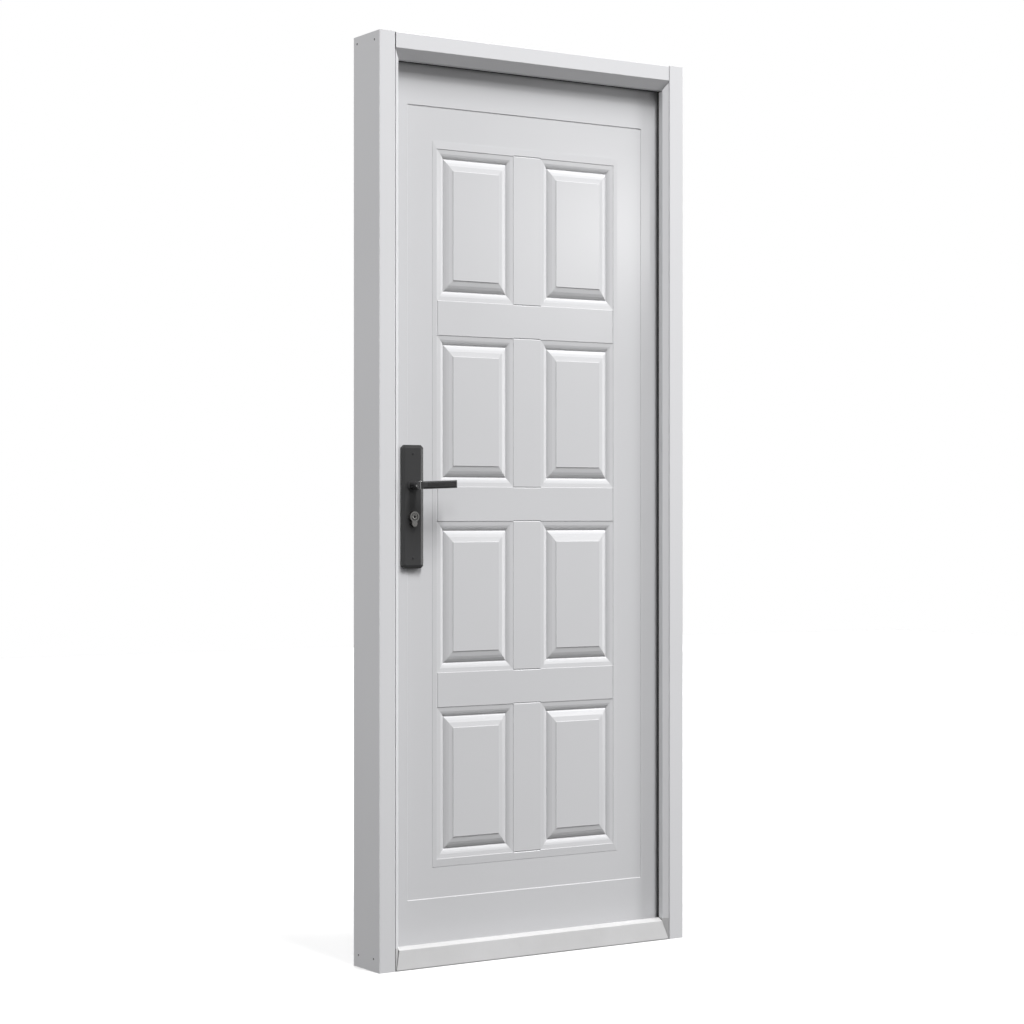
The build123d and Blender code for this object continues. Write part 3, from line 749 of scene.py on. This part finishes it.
def softbox(name, place, aim, size, power):
    """A rectangular lamp that looks at a point."""
    data = bpy.data.lights.new(name, "AREA")
    data.shape = "RECTANGLE"
    data.size, data.size_y = size
    data.energy = power
    lamp = bpy.data.objects.new(name, data)
    lamp.location = place
    lamp.rotation_euler = (aim - place).to_track_quat("-Z", "Y").to_euler()
    scene.collection.objects.link(lamp)
    print(name, "at", [round(v, 2) for v in place], "power", power)


def towards(turn, height, distance):
    """The place at a turn to the right of the door's front and a height above level, in degrees."""
    turn, height = math.radians(turn), math.radians(height)
    level = math.cos(height)
    direction = Vector((level * math.sin(turn), -level * math.cos(turn), math.sin(height)))
    return LAMP_AIM + distance * direction


for name, (turn, height, power) in SOFTBOXES.items():
    softbox(name, towards(turn, height, SOFTBOX_DISTANCE), LAMP_AIM, SOFTBOX_SIZE, power)

# %% [markdown]
# Strips and window. Two narrow strips close beside the door grade the faces that look sideways.
# A small lamp like a window leaves a soft patch on the glossy leaf. It could be moved about until
# the patch fell right, but a mirror says where it belongs: the line of sight from the camera to
# the patch bounces off the leaf, and the lamp stands on that line.

# %% Strips and window
STRIP_TALL = 2.6
STRIP_HEIGHT = 4
STRIP_DISTANCE = 4.5
# The turn to the right in degrees, the width in metres and the power in watts.
STRIPS = {"right_strip": (70, 1.5, 40), "left_strip": (-88, 1.2, 68)}
WINDOW_PATCH = Vector((0.248, -0.0225, 1.66))
WINDOW_DISTANCE = 4.532
WINDOW_SIZE = (0.34, 0.38)
WINDOW_POWER = 7

for name, (turn, width, power) in STRIPS.items():
    place = towards(turn, STRIP_HEIGHT, STRIP_DISTANCE)
    softbox(name, place, LAMP_AIM, (width, STRIP_TALL), power)
bounced = (WINDOW_PATCH - camera.location).normalized()
bounced.y = -bounced.y
window_place = WINDOW_PATCH + WINDOW_DISTANCE * bounced
softbox("window", window_place, WINDOW_PATCH, WINDOW_SIZE, WINDOW_POWER)

# %% [markdown]
# Floor. The camera and clear glass see it white, with the door's own shadow on it, which a
# little glow keeps faint. For every other ray, mirrored ones too, it is nearly black, so that
# undersides stay dark. A plain white floor would be simpler, but it lights the door from below.

# %% Floor
FLOOR_SIZE = 22
FLOOR_BOUNCE = 0.03
FLOOR_SEEN = 0.55
FLOOR_LIFT = 0.35


def seen_directly(tree):
    """1 for rays that the camera or glass sends out, else 0."""
    path = tree.nodes.new("ShaderNodeLightPath")
    return maths(tree, "MAXIMUM", path.outputs["Is Camera Ray"], path.outputs["Is Transmission Ray"])


bpy.ops.mesh.primitive_plane_add(size=FLOOR_SIZE, location=(0, 0, 0))
floor = bpy.context.object
floor.name = "studio_floor"
floor_finish = bpy.data.materials.new("pale_floor")
floor_finish.use_nodes = True
tree = floor_finish.node_tree
tree.nodes.remove(tree.nodes["Principled BSDF"])
seen = seen_directly(tree)
matt = tree.nodes.new("ShaderNodeBsdfDiffuse")
bounce = (FLOOR_BOUNCE, FLOOR_BOUNCE, FLOOR_BOUNCE, 1)
white = (FLOOR_SEEN, FLOOR_SEEN, FLOOR_SEEN, 1)
tree.links.new(mix_colours(tree, seen, bounce, white), matt.inputs["Color"])
glow = tree.nodes.new("ShaderNodeEmission")
tree.links.new(maths(tree, "MULTIPLY", seen, FLOOR_LIFT), glow.inputs["Strength"])
both = tree.nodes.new("ShaderNodeAddShader")
tree.links.new(matt.outputs[0], both.inputs[0])
tree.links.new(glow.outputs[0], both.inputs[1])
tree.links.new(both.outputs[0], tree.nodes["Material Output"].inputs["Surface"])
floor.data.materials.append(floor_finish)
print("floor metres across:", FLOOR_SIZE)

# %% [markdown]
# Room. The camera and clear glass see plain white behind the door, while the light that the room
# sends to the door, and what its gloss mirrors, is a weak even white, so that the lamps do the
# shading. A white wall behind the door would look the same but stand in the way from other sides.

# %% Room
ROOM_LIGHT = 0.22

room = bpy.data.worlds.new("room")
scene.world = room
room.use_nodes = True
tree = room.node_tree
background = tree.nodes["Background"]
background.inputs["Color"].default_value = (1, 1, 1, 1)
extra = maths(tree, "MULTIPLY", seen_directly(tree), 1 - ROOM_LIGHT)
tree.links.new(maths(tree, "ADD", extra, ROOM_LIGHT), background.inputs["Strength"])
print("room light:", ROOM_LIGHT)
